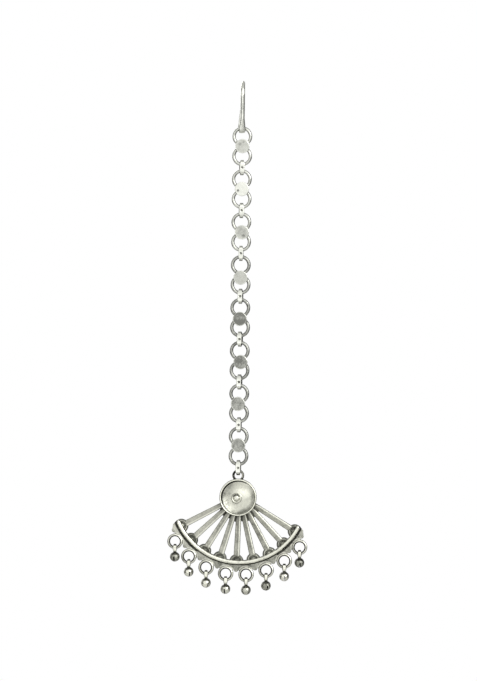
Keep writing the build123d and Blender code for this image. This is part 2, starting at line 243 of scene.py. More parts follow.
def silver_age_group():
    """Old silver: bright where it is rubbed, grey under film, dark where it stays oxidised, with
    painted shade on faces turned aside and in recesses.
    """
    tree = bpy.data.node_groups.new("silver_age", "ShaderNodeTree")
    face = tree.interface
    for name, kind, value in (
        ("Bright", "NodeSocketColor", (0.92, 0.93, 0.85, 1.0)),
        ("Film Colour", "NodeSocketColor", (0.20, 0.203, 0.185, 1.0)),
        ("Dark", "NodeSocketColor", (0.025, 0.025, 0.021, 1.0)),
        # Flank: painted shade on faces that turn aside from the front and back, between these
        # crest values.
        ("Flank Start", "NodeSocketFloat", 0.80),
        ("Flank End", "NodeSocketFloat", 0.35),
        ("Flank", "NodeSocketFloat", 0.8),
        ("Recess", "NodeSocketFloat", 1.0),
        ("Reach", "NodeSocketFloat", 0.8 * MM),
        ("Blotch", "NodeSocketFloat", 0.25),
        ("Smooth", "NodeSocketFloat", 0.2),
        ("Dull", "NodeSocketFloat", 0.5),
    ):
        made = face.new_socket(name, in_out="INPUT", socket_type=kind)
        made.default_value = value
    face.new_socket("Color", in_out="OUTPUT", socket_type="NodeSocketColor")
    face.new_socket("Roughness", in_out="OUTPUT", socket_type="NodeSocketFloat")
    face.new_socket("Height", in_out="OUTPUT", socket_type="NodeSocketFloat")
    given = tree.nodes.new("NodeGroupInput").outputs
    place = node(tree, "TexCoord").outputs["Object"]
    crest = node(tree, "Attribute", {"attribute_name": "crest"}).outputs["Fac"]
    film = node(tree, "Attribute", {"attribute_name": "film"}).outputs["Fac"]
    grime_and_shade = node(tree, "Attribute", {"attribute_name": "grime_and_shade"}).outputs["Fac"]
    clouds = node(tree, "TexNoise", None, Vector=place, Scale=420.0, Detail=4.0, Roughness=0.6)
    specks = node(tree, "TexNoise", None, Vector=place, Scale=2600.0, Detail=3.0, Roughness=0.65)
    along = (0.0, radians(38.0), 0.0)
    brushed = node(
        tree, "Mapping", None, Vector=place, Rotation=along, Scale=(1.0, 1.0, 0.16)
    ).outputs[0]
    scratches = node(
        tree, "TexNoise", None, Vector=brushed, Scale=3600.0, Detail=2.0, Roughness=0.5
    )
    cloud = clouds.outputs["Fac"]
    speck = specks.outputs["Fac"]
    scratch = scratches.outputs["Fac"]

    streak = ease(tree, scratch, 0.3, 0.7, 0.9, 1.06)
    grit = ease(tree, speck, 0.3, 0.7, 0.8, 1.15)
    mottle = ease(tree, cloud, 0.35, 0.65, 0.85, 1.12)
    streak = sum_up(tree, "MULTIPLY", streak, grit)
    greyed = sum_up(tree, "MULTIPLY", sum_up(tree, "MULTIPLY", film, streak), mottle)
    patch = sum_up(tree, "MULTIPLY", ease(tree, cloud, 0.52, 0.74), given["Blotch"])
    greyed = sum_up(tree, "ADD", greyed, patch, clamp=True)
    face_colour = blend_colours(tree, greyed, given["Bright"], given["Film Colour"])

    # Painted shade: faces that turn aside from the front and back are darkened.
    flank_shade = ease(tree, crest, given["Flank Start"], given["Flank End"])
    flank_shade = sum_up(tree, "MULTIPLY", flank_shade, given["Flank"])
    # The occlusion darkening stands for oxide kept in hollows and also paints the shade that falls
    # there.
    occlusion = node(
        tree, "AmbientOcclusion", {"only_local": True, "samples": 12}, Distance=given["Reach"]
    ).outputs["AO"]
    recess = sum_up(tree, "MULTIPLY", ease(tree, occlusion, 0.86, 0.38), given["Recess"])
    ragged = ease(tree, speck, 0.3, 0.7, 0.85, 1.1)
    darkened = sum_up(tree, "MAXIMUM", sum_up(tree, "MAXIMUM", flank_shade, recess), grime_and_shade)
    oxide_and_shade = sum_up(tree, "MULTIPLY", darkened, ragged, clamp=True)
    colour = blend_colours(tree, oxide_and_shade, face_colour, given["Dark"])

    age = sum_up(tree, "MAXIMUM", greyed, oxide_and_shade)
    rough = node(tree, "Mix", None, n0=age, n2=given["Smooth"], n3=given["Dull"]).outputs[0]
    rough = sum_up(tree, "ADD", rough, ease(tree, speck, 0.3, 0.75, -0.03, 0.07))
    height = sum_up(tree, "ADD", sum_up(tree, "MULTIPLY", speck, 0.5), cloud)
    height = sum_up(tree, "ADD", height, sum_up(tree, "MULTIPLY", scratch, 0.25))
    out = tree.nodes.new("NodeGroupOutput")
    for socket, value in (("Color", colour), ("Roughness", rough), ("Height", height)):
        tree.links.new(value, out.inputs[socket])
    return tree


silver_age = silver_age_group()


def silver(name, **amounts):
    """A silver finish: the aged colour and roughness on a metal, slightly uneven."""
    finish = bpy.data.materials.new(name)
    finish.use_nodes = True
    tree = finish.node_tree
    tree.nodes.clear()
    age = tree.nodes.new("ShaderNodeGroup")
    age.node_tree = silver_age
    for trait, amount in amounts.items():
        age.inputs[trait.replace("_", " ")].default_value = amount
    raised = node(
        tree, "Bump", None, Strength=0.25, Distance=0.02 * MM, Height=age.outputs["Height"]
    )
    metal = node(
        tree,
        "BsdfPrincipled",
        None,
        Base_Color=age.outputs["Color"],
        Roughness=age.outputs["Roughness"],
        Metallic=1.0,
        Normal=raised.outputs["Normal"],
    )
    node(tree, "OutputMaterial", None, Surface=metal.outputs["BSDF"])
    return finish


def finish_piece(piece, material, body, slot, *nodes):
    """Gives the piece its finish, says what it is part of and hides the parts it stands for."""
    piece.data.materials.clear()
    piece.data.materials.append(material)
    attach(piece, body)
    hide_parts(*nodes)


first_wire_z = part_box("station_link_1")[1].z - RING_WIRE / 2
bend_centre = Vector((0, 0, HOOK_WIRE / 2 - BEND_RADIUS))
lean = asin((BEND_RADIUS - EYE_RADIUS) / (bend_centre.z - first_wire_z))
shank_direction = Vector((0, sin(lean), -cos(lean)))
shank_back = Vector((0, cos(lean), sin(lean)))
eye_back = shank_back * cos(EYE_SKEW) + Vector((-sin(EYE_SKEW), 0, 0))
eye_centre = Vector((0, 0, first_wire_z)) + (eye_back - shank_back) * EYE_RADIUS
eye_axis = shank_direction.cross(eye_back).normalized()
leg_direction = Vector((0, -sin(FREE_LEG_FLARE), cos(FREE_LEG_FLARE)))
leg_top = bend_centre + Vector((0, cos(FREE_LEG_FLARE), sin(FREE_LEG_FLARE))) * BEND_RADIUS
free_tip = leg_top - leg_direction * FREE_LEG_LENGTH
shank_top = bend_centre + Vector((0, -cos(lean), -sin(lean))) * BEND_RADIUS
flat_start = eye_centre - eye_back * EYE_RADIUS
taper_start = flat_start - shank_direction * FOOT_TAPER
tail_direction = shank_direction * cos(EYE_TURN) + eye_back * sin(EYE_TURN)
tail_start = eye_centre + (shank_direction * sin(EYE_TURN) - eye_back * cos(EYE_TURN)) * EYE_RADIUS


def hook_film(place):
    """Film along the hook, stretch by stretch; the stretches with little or none stand for painted
    highlights.
    """
    below = bend_centre.z + BEND_RADIUS - place.z
    for reach, film in HOOK_FILM_AND_HIGHLIGHTS:
        if below < reach * MM:
            return film
    return WORN


hook_wire = wire_end(free_tip, leg_direction, HOOK_WIRE)
draw_on(leg_top - free_tip)
bend_round(bend_centre, (1, 0, 0), pi + lean - FREE_LEG_FLARE, steps=40)
draw_on(taper_start - shank_top)
draw_on(flat_start - taper_start)
foot_axes = [list(eye_axis), list(eye_back), list(shank_direction)]
bpy.ops.transform.resize(
    value=(FOOT_WIDTH / HOOK_WIRE, FOOT_THICKNESS / HOOK_WIRE, 1),
    orient_type="GLOBAL",
    orient_matrix=foot_axes,
    orient_matrix_type="GLOBAL",
    center_override=flat_start,
)
bend_round(eye_centre, eye_axis, EYE_TURN, steps=36)
draw_on(tail_direction * TAIL_LENGTH)
bpy.ops.transform.resize(
    value=(TAIL_TIP_SCALE,) * 3, center_override=tail_start + tail_direction * TAIL_LENGTH
)
let_go()
hook_end = bead(free_tip, HOOK_WIRE / 2)
hair_hook = solder("hook_wire", [hook_wire, hook_end], grain=0.1, melt=4, forge=0.05, ends=0.9)
tarnish(hair_hook, hook_film)
drawn_silver = silver("drawn_silver", Flank=0.14, Blotch=0.2, Smooth=0.2)
finish_piece(hair_hook, drawn_silver, "chain", "worn_silver", "hair_hook")

# ---- Station links -----------------------------------------------------------
# Two rings of round wire, soldered edge to edge, with a flat disc of sheet soldered
# over their joint. Eight of them make up the length of the chain.
STATIONS = 8
RING_RADIUS = 2.4 * MM
RING_OFFSET = 2.85 * MM
DISC_RADIUS = 2.05 * MM
DISC_MIDDLE = 0.6 * MM        # in front of the rings' plane
DISC_BACK = 0.3 * MM
DISC_THICKNESS = 0.6 * MM
DISC_RIM_HIGHLIGHT = 0.16 * MM         # rim of the disc left without film, a painted highlight
# Film on each disc: partly tarnish, partly painted reflection for discs that catch the light
# differently.
DISC_FILM = [0.38, 0.07, 0.46, 0.54, 1.08, 0.90, 0.72, 0.82]
DISC_TILTS = [                # how each disc sits, in degrees: leaning back, turned aside
    (1.0, 0.0), (-1.0, 1.0), (1.0, -1.0), (0.0, 1.0),
    (2.0, -1.0), (1.5, 1.5), (1.0, -1.5), (1.5, 0.0),
]
DISC_SHIFTS = [               # each disc off the rings' joint, in mm: to the right, and up
    (0.06, 0.0), (0.06, 0.0), (0.2, -0.13), (-0.03, -0.84),
    (-0.12, -0.34), (0.23, -0.44), (-0.36, -0.13), (-0.12, 0.29),
]
RING_FILM = [0.42, 0.42, 0.48, 0.70, 0.78, 0.80, 0.75, 0.74]
RING_GRIME = [0.42, 0.38, 0.48, 0.75, 0.85, 0.85, 0.80, 0.80]     # black on their inner sides
RING_BLACK_START = 0.35       # it starts so far in, and is full so much further in
RING_BLACK_FADE = 0.3
RING_SIDES = 20
RING_ROUNDS = 72
SOLDER_RADIUS = 0.62 * MM     # the pool of solder between the rings
SOLDER_SHAPE = (1.3, 0.7, 0.7)
LESS_SHADED_LINKS = 3              # the upper links get less painted shade on their flanks
DISC_SPOTS = [                # disc, place right of and above its middle, radius in mm, film
    (1, -1.15, -0.45, 0.38, 0.95),
    (0, -0.75, 0.55, 0.45, 0.62),
    (0, 0.35, 1.15, 0.30, 0.60),
    (2, 0.45, -1.05, 0.45, 0.70),
    (3, 0.9, -0.5, 0.35, 0.52),
]


def wire_ring(centre, radius, wire):
    """A closed ring of round wire that faces the front."""
    let_go()
    bpy.ops.mesh.primitive_torus_add(
        location=centre,
        rotation=(pi / 2, 0, 0),
        major_radius=radius,
        minor_radius=wire / 2,
        major_segments=RING_ROUNDS,
        minor_segments=RING_SIDES,
    )
    return settle(bpy.context.object)


def apart(place, centre):
    """How far two places are apart, as seen from the front."""
    return hypot(place.x - centre.x, place.z - centre.z)


def disc_film(number, disc_centre):
    """Film over one link: its disc's own, with spots, and its rings' own."""
    spots = [spot for spot in DISC_SPOTS if spot[0] == number]

    def film_at(place):
        out = apart(place, disc_centre)
        if place.y > -DISC_MIDDLE or out > DISC_RADIUS:
            return RING_FILM[number]
        # Painted highlight: the disc's rim is left without film.
        if out > DISC_RADIUS - DISC_RIM_HIGHLIGHT:
            return 0.0
        film = DISC_FILM[number]
        for _, right, above, radius, spot_film in spots:
            spot_centre = disc_centre + Vector((right * MM, 0, above * MM))
            if apart(place, spot_centre) < radius * MM:
                film = spot_film
        return film

    return film_at


def share_of(value, start, width):
    """0 up to the start, rising to 1 over the width."""
    return min(max((value - start) / width, 0.0), 1.0)


def link_grime(number, middle, disc_centre):
    """Black along the inner side of a link's two rings."""

    def grime_at(place):
        if apart(place, disc_centre) < DISC_RADIUS and place.y < -DISC_BACK:
            return 0.0
        ring_z = middle.z + (RING_OFFSET if place.z > middle.z else -RING_OFFSET)
        inward = (RING_RADIUS - hypot(place.x, place.z - ring_z)) / (RING_WIRE / 2)
        return RING_GRIME[number] * share_of(inward, RING_BLACK_START, RING_BLACK_FADE)

    return grime_at


# Flank sets how much painted shade darkens the sides of each wire.
link_silver = silver("link_silver", Flank=0.85, Blotch=0.15, Smooth=0.16, Dull=0.28)
less_shaded_link_silver = silver("less_shaded_link_silver", Flank=0.5, Blotch=0.15, Smooth=0.16, Dull=0.28)
for number in range(STATIONS):
    low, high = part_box(f"station_link_{number + 1}")
    middle = Vector((0, 0, (low.z + high.z) / 2))
    parts = [
        wire_ring(middle + Vector((0, 0, RING_OFFSET)), RING_RADIUS, RING_WIRE),
        wire_ring(middle - Vector((0, 0, RING_OFFSET)), RING_RADIUS, RING_WIRE),
        bead(middle, SOLDER_RADIUS, SOLDER_SHAPE),
    ]
    right, up = DISC_SHIFTS[number]
    disc_centre = middle + Vector((right * MM, -DISC_MIDDLE, up * MM))
    lean_back, side_turn = DISC_TILTS[number]
    let_go()
    bpy.ops.mesh.primitive_cylinder_add(
        vertices=72,
        radius=DISC_RADIUS,
        depth=DISC_THICKNESS,
        location=disc_centre,
        rotation=(pi / 2 + radians(lean_back), 0, radians(side_turn)),
    )
    parts.append(settle(bpy.context.object))
    link = solder(f"link_{number + 1}", parts, grain=0.095, melt=4, forge=0.03)
    tarnish(link, disc_film(number, disc_centre))
    tarnish(link, link_grime(number, middle, disc_centre), "grime_and_shade")
    link_finish = less_shaded_link_silver if number < LESS_SHADED_LINKS else link_silver
    finish_piece(link, link_finish, "chain", "worn_silver", f"station_link_{number + 1}")

# ---- Connectors --------------------------------------------------------------
# Small closed links of flat strip, bent round the wires of two rings and butted at
# mid length, where a dent marks the joint. The last one is the pendant's bail.
STRIP_WIDTH = 1.4 * MM
STRIP_THICKNESS = 0.46 * MM
END_RADIUS = 0.78 * MM
DIMPLE_RADIUS = 0.32 * MM
STRIP_END_LINE = 0.2 * MM     # painted shade at the very end of each bend
STRIP_END_SHADE = 0.8
DIMPLE_BLACK = 0.6
MERGE = 0.01 * MM             # points this near are one
STRIP_ENDS = [(0.35, 0.85), (0.85, 0.82)]     # how far round its bend, and how much narrower
CONNECTOR_TURNS = [5.0, 4.0, -2.0, -8.0, -10.0, -10.0, -7.0, -6.0]     # degrees


def strip_link(middle, span, inside, width, thickness):
    """A closed link of flat strip, whose round ends are turned about the X axis."""
    let_go()
    front = inside + thickness / 2
    bpy.ops.mesh.primitive_plane_add(size=1, location=middle + Vector((0, -front, -span / 2)))
    bpy.context.object.scale = (width, thickness, 1)
    piece = settle(bpy.context.object)
    bpy.ops.object.mode_set(mode="EDIT")
    bpy.ops.mesh.select_all(action="SELECT")
    draw_on((0, 0, span))
    bend_round(middle + Vector((0, 0, span / 2)), (-1, 0, 0), pi, steps=20)
    draw_on((0, 0, -span))
    bend_round(middle - Vector((0, 0, span / 2)), (-1, 0, 0), pi, steps=20)
    bpy.ops.mesh.delete(type="ONLY_FACE")
    let_go()
    seam_z = middle.z - span / 2
    for face in piece.data.polygons:
        face.select = abs(face.center.z - seam_z) < MERGE and face.center.y < 0
    take(piece)
    bpy.ops.object.mode_set(mode="EDIT")
    bpy.ops.mesh.select_mode(type="FACE")
    bpy.ops.mesh.delete(type="ONLY_FACE")
    bpy.ops.mesh.select_mode(type="VERT")
    bpy.ops.mesh.select_all(action="SELECT")
    bpy.ops.mesh.remove_doubles(threshold=MERGE)
    bpy.ops.mesh.normals_make_consistent(inside=False)
    for share, narrowing in STRIP_ENDS:
        reach = span / 2 + inside * share
        pick(piece, lambda place: abs(place.z - middle.z) > reach)
        bpy.ops.transform.resize(value=(narrowing, 1, 1), center_override=middle)
    let_go()
    return piece


def connector_shade_and_joint(middle, span):
    """Painted shade on a connector's inside and very ends, and black in its dent at the joint."""

    def grime_at(place):
        beyond = max(abs(place.z - middle.z) - span / 2, 0.0)
        if apart(place, middle) < DIMPLE_RADIUS and place.y < 0:
            return DIMPLE_BLACK
        if beyond > END_RADIUS + STRIP_THICKNESS - STRIP_END_LINE:
            return STRIP_END_SHADE
        # Painted shade: the inside of the bend is black.
        inward = END_RADIUS + STRIP_THICKNESS / 2 - hypot(place.y, beyond)
        return 1.0 if inward > 0 else 0.0

    return grime_at


def turned_aside(piece, middle, angle):
    """The piece turned about a plumb line through its middle."""
    piece.data.transform(
        Matrix.Translation(middle) @ Matrix.Rotation(angle, 4, "Z") @ Matrix.Translation(-middle)
    )
    return piece


def dent(piece, place, radius):
    """A small round dent, left by a punch."""
    punch = bead(place, radius)
    work(piece, "BOOLEAN", object=punch, operation="DIFFERENCE", solver="EXACT")
    take(punch)
    bpy.ops.object.delete()


connector_silver = silver("connector_silver", Flank=0.9, Blotch=0.1, Smooth=0.16)
for number in range(STATIONS):
    low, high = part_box(f"connector_{number + 1}")
    middle = Vector((0, 0, (low.z + high.z) / 2))
    span = high.z - low.z - 2 * (END_RADIUS + STRIP_THICKNESS)
    strip = strip_link(middle, span, END_RADIUS, STRIP_WIDTH, STRIP_THICKNESS)
    dent(strip, middle - Vector((0, END_RADIUS + STRIP_THICKNESS, 0)), DIMPLE_RADIUS)
    turned_aside(strip, middle, radians(CONNECTOR_TURNS[number]))
    connector = solder(f"strip_link_{number + 1}", [strip], grain=0.075, melt=4, ends=0.85)
    tarnish(connector, connector_shade_and_joint(middle, span), "grime_and_shade")
    body = "bail" if number == STATIONS - 1 else "chain"
    finish_piece(connector, connector_silver, body, "worn_silver", f"connector_{number + 1}")

# ---- Pendant: cup and blades -------------------------------------------------
# A shallow turned cup with a dished plate set in it and a small boss, a wire ring on
# top to hang it by, and nine tapered blades soldered to its wall, raised on one side.
PENDANT_BACK = -0.5 * MM
TOP_RING_RADIUS = 1.4 * MM
TOP_RING_WIRE = 0.7 * MM
TOP_RING_DROP = 6.35 * MM
CUP_RADIUS = 5.4 * MM
CUP_PROFILE = [               # radius and height in the pendant's plane, in mm, wall inward
    (5.40, 1.26), (5.36, 1.42), (5.26, 1.54), (5.13, 1.57), (5.00, 1.54), (4.90, 1.42),
    (4.87, 1.26), (4.87, 0.10), (0.50, 0.10),
]
DISH_START_RADIUS = 4.72 * MM
DISH_BACK = -0.2 * MM
DISH_PROFILE = [
    (4.72, 0.82), (4.66, 0.88), (4.55, 0.85), (4.10, 0.67), (3.60, 0.49), (3.10, 0.36),
    (2.60, 0.255), (2.00, 0.17), (1.42, 0.12), (0.50, 0.12),
]
DISH_SHIFT = Vector((0.11 * MM, 0, -0.11 * MM))      # the plate isn't quite in the middle
BOSS_SHIFT = Vector((-0.45 * MM, 0, -0.25 * MM))
BOSS_RADIUS = 1.42 * MM
BOSS_BACK = -0.1 * MM
BOSS_PROFILE = [
    (1.42, 0.42), (1.34, 0.50), (1.20, 0.50), (1.12, 0.42), (1.12, 0.34), (0.30, 0.34),
]
BOSS_BALL_RADIUS = 0.95 * MM
BOSS_BALL_DEPTH = 0.36 * MM
BOSS_BALL_SHAPE = (1.0, 0.65, 1.0)
FAN_SHIFT = Vector((0.47 * MM, 0, 0.43 * MM))        # the fan's middle from the cup's
FAN_TURN = radians(2.1)
BLADES = 9
BLADE_PITCH = 15.0
BLADE_START_R = 5.05 * MM
BLADE_END_R = 17.5 * MM
BLADE_START_WIDTH = 1.5 * MM
BLADE_END_WIDTH = 1.8 * MM
BLADE_BACK = -0.4 * MM
BLADE_LOW_EDGE = 0.05 * MM
BLADE_CREST = 0.7 * MM
BLADE_CREST_WIDTH = 0.30 * MM
BLADE_EDGE_WIDTH = 0.16 * MM  # the bevel outside the crest
BLADE_EDGE_DROP = 0.3 * MM
BLADE_FILM = [0.55, 0.55, 0.62, 0.63, 0.62, 0.63, 0.63, 0.58, 0.52]     # left to right
ROOT_SHADE = 2.4 * MM         # how far out the black runs in beside the blades
CREST_FILM = [0.28, 0.30, 0.30, 0.25, 0.20, 0.28, 0.32, 0.12, 0.20]
WEB_REACHES = [6.9, 7.5, 7.2, 7.6, 7.4, 7.7, 7.5, 7.1]     # solder between the blades, mm
WEB_WIDTH = 0.75 * MM
WEB_START = 4.8 * MM          # inside the cup's wall
WEB_SINK = 0.08 * MM          # below the blades' low edges
CUP_REACH = 5.5 * MM          # skin this near the cup's middle is the cup's,
DISH_REACH = 4.87 * MM        # the dish's,
BOSS_REACH = 1.92 * MM        # or the boss's
DISH_FILM = 0.48              # on the dish, with so much less at the edge of its lit side, as painted light
DISH_FILM_SWING = 0.22
DISH_LIT_SIDE = radians(20)                        # from the viewer's right, upward
DISH_HIGHLIGHT_SPOT = Vector((1.0 * MM, 0, 2.1 * MM))     # a painted highlight here, from the cup's middle
DISH_HIGHLIGHT_REACH = 3.0 * MM
DISH_HIGHLIGHT = 0.6               # film taken off in the middle of the spot, for the painted highlight
DISH_SHADE_SIDE = radians(-35)                        # its edge has painted shade this way
DISH_SHADE_START = 3.6 * MM
DISH_SHADE_WIDTH = 0.9 * MM
DISH_SHADE = 0.6               # film added there as painted shade
BOSS_FILM = 0.2
BOSS_GROOVE = (0.75 * MM, 1.3 * MM)
BOSS_SHADE_START = 0.45 * MM # painted shade: the groove is black above this, from the boss's middle
BOSS_GROOVE_SHADE = 0.8
CREST_START = 0.35            # across the blade: 1 is its right edge
CREST_DEPTH = 0.45 * MM
BLADE_WALL_START = 1.02       # a blade's side walls, and the painted shade on them
BLADE_WALL_SHADE = 0.65
BLADE_EDGE_SHADE = 0.85       # painted shade on its front, so far in from its edges at the root
BLADE_EDGE_SHARE = 0.4
BLADE_ROOT_SHADE = 0.3
LOW_EDGE_START = -0.8         # its low left edge
LOW_EDGE_BLACK = 0.35
TOP_RING_SHADE_LEFT = 0.5 * MM        # painted shade: the ring is all black this far left of its middle,
TOP_RING_SHADE_BELOW = 0.7 * MM       # and below it
TOP_RING_SPLIT = 1.35 * MM            # elsewhere, its black outside this radius and inside it
TOP_RING_BLACKS = (0.85, 0.45)

low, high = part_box("pendant")
top_ring_centre = Vector((0, 0, high.z - TOP_RING_RADIUS - TOP_RING_WIRE / 2))
cup_centre = top_ring_centre - Vector((0, 0, TOP_RING_DROP))
fan_centre = cup_centre + FAN_SHIFT


def fan(count, pitch):
    """Angles of a fan about its middle line, from the viewer's left to right."""
    return [radians(pitch * ((count - 1) / 2 - number)) for number in range(count)]


def swing(piece, angle):
    """A piece made straight down is turned to its spoke of the fan."""
    piece.data.transform(
        Matrix.Translation(fan_centre)
        @ Matrix.Rotation(angle + FAN_TURN, 4, "Y")
        @ Matrix.Translation(-fan_centre)
    )
    return piece


def turned(centre, start_radius, back, profile, sides):
    """A turned piece that faces the front: radii and heights from its wall inward."""
    let_go()
    bpy.ops.mesh.primitive_circle_add(
        vertices=sides,
        radius=start_radius,
        fill_type="NGON",
        location=centre + Vector((0, -back, 0)),
        rotation=(pi / 2, 0, 0),
    )
    piece = settle(bpy.context.object)
    bpy.ops.object.mode_set(mode="EDIT")
    bpy.ops.mesh.select_all(action="SELECT")
    radius, height = start_radius, back
    for next_radius, next_height in profile:
        next_radius, next_height = next_radius * MM, next_height * MM
        draw_on((0, height - next_height, 0))
        ratio = next_radius / radius
        bpy.ops.transform.resize(
            value=(ratio, 1, ratio), center_override=centre + Vector((0, -next_height, 0))
        )
        radius, height = next_radius, next_height
    let_go()
    return piece


def blade_start(angle):
    """How far along its spoke a blade comes out of the cup's wall."""
    outward = Vector((-sin(angle + FAN_TURN), 0, -cos(angle + FAN_TURN)))
    along = FAN_SHIFT.dot(outward)
    across = (FAN_SHIFT - outward * along).length
    return sqrt(BLADE_START_R**2 - across**2) - along


def blade(angle):
    """One tapered blade: low on its left and raised to a crest on its right."""
    start = blade_start(angle)
    length = BLADE_END_R - start
    let_go()
    bpy.ops.mesh.primitive_cube_add(
        size=1,
        location=fan_centre + Vector((0, -(BLADE_BACK + BLADE_CREST) / 2, -start - length / 2)),
        scale=(BLADE_START_WIDTH, BLADE_CREST - BLADE_BACK, length),
    )
    piece = settle(bpy.context.object)
    foot = fan_centre.z - start - length / 2
    pick(piece, lambda place: place.z < foot)
    bpy.ops.transform.resize(
        value=(BLADE_END_WIDTH / BLADE_START_WIDTH, 1, 1), center_override=fan_centre
    )
    edge_slope = (BLADE_END_WIDTH - BLADE_START_WIDTH) / 2 / length
    crest_left = BLADE_START_WIDTH / 2 - BLADE_EDGE_WIDTH - BLADE_CREST_WIDTH
    bpy.ops.mesh.select_all(action="SELECT")
    bpy.ops.mesh.bisect(
        plane_co=fan_centre + Vector((crest_left, 0, -start)),
        plane_no=(1, 0, edge_slope),
    )
    bpy.ops.mesh.select_all(action="SELECT")
    bpy.ops.mesh.bisect(
        plane_co=fan_centre + Vector((crest_left + BLADE_CREST_WIDTH, 0, -start)),
        plane_no=(1, 0, edge_slope),
    )
    pick(piece, lambda place: place.x < fan_centre.x and place.y < 0)
    bpy.ops.transform.translate(value=(0, BLADE_CREST - BLADE_LOW_EDGE, 0))
    bevel_middle = fan_centre.x + crest_left + BLADE_CREST_WIDTH + BLADE_EDGE_WIDTH / 2
    pick(
        piece,
        lambda place: place.y < 0
        and place.x + (place.z - fan_centre.z + start) * edge_slope > bevel_middle,
    )
    bpy.ops.transform.translate(value=(0, BLADE_EDGE_DROP, 0))
    let_go()
    return swing(piece, angle)


def web(angle, reach):
    """Solder between the roots of two blades, out to its reach, blackened as oxide and as painted
    shade.
    """
    let_go()
    front = BLADE_LOW_EDGE - WEB_SINK
    bpy.ops.mesh.primitive_cube_add(
        size=1,
        location=fan_centre - Vector((0, (BLADE_BACK + front) / 2, (WEB_START + reach) / 2)),
        scale=(WEB_WIDTH, front - BLADE_BACK, reach - WEB_START),
    )
    return swing(settle(bpy.context.object), angle)


def fan_place(place):
    """Radius and angle of a point in the fan, the angle in degrees, positive to the left."""
    right, down = place.x - fan_centre.x, fan_centre.z - place.z
    return hypot(right, down), degrees(atan2(-right, down) - FAN_TURN)


def blade_place(place):
    """Which blade a point is nearest, and where across it: -1 to 1."""
    radius, angle = fan_place(place)
    number = min(max(round((BLADES - 1) / 2 - angle / BLADE_PITCH), 0), BLADES - 1)
    aside = ((BLADES - 1) / 2 - number) * BLADE_PITCH - angle
    share = (radius - BLADE_START_R) / (BLADE_END_R - BLADE_START_R)
    half_width = (BLADE_START_WIDTH + (BLADE_END_WIDTH - BLADE_START_WIDTH) * share) / 2
    return number, radius * sin(radians(aside)) / half_width


def cup_film(place):
    """Film over the cup and blades: thin on the cup, each blade's own, little on its crest."""
    from_cup = (place - cup_centre).length
    if from_cup < CUP_REACH or place.z > cup_centre.z + CUP_RADIUS:
        if from_cup > DISH_REACH:
            return 0.0
        if place.y < -BOSS_BALL_DEPTH and from_cup < BOSS_REACH:
            return BOSS_FILM
        # Painted light on the dish: less film on its lit side and in a highlight spot, more as
        # shade at its lower right edge.
        side = atan2(place.z - cup_centre.z, place.x - cup_centre.x)
        clear = cos(side - DISH_LIT_SIDE) * from_cup / DISH_START_RADIUS
        dish_highlight = max(1 - apart(place, cup_centre + DISH_HIGHLIGHT_SPOT) / DISH_HIGHLIGHT_REACH, 0.0)
        dish_shade = max(cos(side - DISH_SHADE_SIDE), 0.0)
        dish_shade *= share_of(from_cup, DISH_SHADE_START, DISH_SHADE_WIDTH)
        return DISH_FILM - DISH_FILM_SWING * clear - DISH_HIGHLIGHT * dish_highlight + DISH_SHADE * dish_shade
    number, across = blade_place(place)
    if across > CREST_START and place.y < -CREST_DEPTH:
        return CREST_FILM[number]
    return BLADE_FILM[number]


def cup_grime_and_shade(place):
    """Black on the top ring, over the boss, between the blades' roots and on their edges; much of
    it is painted shade: on the ring's left and lower side, in the upper half of the boss's groove,
    and at the blades' roots and side walls.
    """
    if place.z > cup_centre.z + CUP_RADIUS:
        above = place - top_ring_centre
        # Painted shade on the top ring's left and lower side.
        if above.z < -TOP_RING_SHADE_BELOW or above.x < -TOP_RING_SHADE_LEFT:
            return 1.0
        outside = apart(place, top_ring_centre) > TOP_RING_SPLIT
        return TOP_RING_BLACKS[0] if outside else TOP_RING_BLACKS[1]
    if (place - cup_centre).length < CUP_REACH:
        boss_centre = cup_centre + BOSS_SHIFT
        in_groove = BOSS_GROOVE[0] < apart(place, boss_centre) < BOSS_GROOVE[1]
        # Painted shade: only the upper half of the groove is black.
        in_front = place.y < 0 and place.z - boss_centre.z > BOSS_SHADE_START
        return BOSS_GROOVE_SHADE if in_groove and in_front else 0.0
    number, across = blade_place(place)
    # Painted shade at the blades' roots, fading out from the cup.
    root = max(1 - (apart(place, cup_centre) - CUP_RADIUS) / ROOT_SHADE, 0.0)
    if abs(across) > BLADE_WALL_START:
        return BLADE_WALL_SHADE + (1 - BLADE_WALL_SHADE) * root
    if abs(across) > 1 - BLADE_EDGE_SHARE * root:
        return BLADE_EDGE_SHADE
    return max(BLADE_ROOT_SHADE * root, LOW_EDGE_BLACK if across < LOW_EDGE_START else 0.0)


cup = turned(cup_centre, CUP_RADIUS, PENDANT_BACK, CUP_PROFILE, sides=128)
dish = turned(cup_centre + DISH_SHIFT, DISH_START_RADIUS, DISH_BACK, DISH_PROFILE, sides=128)
boss = turned(cup_centre + BOSS_SHIFT, BOSS_RADIUS, BOSS_BACK, BOSS_PROFILE, sides=48)
ball_centre = cup_centre + BOSS_SHIFT - Vector((0, BOSS_BALL_DEPTH, 0))
ball = bead(ball_centre, BOSS_BALL_RADIUS, BOSS_BALL_SHAPE)
top_ring = wire_ring(top_ring_centre, TOP_RING_RADIUS, TOP_RING_WIRE)
blades = [blade(angle) for angle in fan(BLADES, BLADE_PITCH)]
webs = [
    web(angle, reach * MM)
    for angle, reach in zip(fan(BLADES - 1, BLADE_PITCH), WEB_REACHES)
]
cup_and_blades = solder(
    "cup_and_blades", [cup, dish, boss, ball, top_ring, *webs, *blades], grain=0.105, melt=2
)
tarnish(cup_and_blades, cup_film)
tarnish(cup_and_blades, cup_grime_and_shade, "grime_and_shade")
OLD_BRIGHT = (0.93, 0.93, 0.81, 1.0)
OLD_FILM = (0.200, 0.203, 0.172, 1.0)
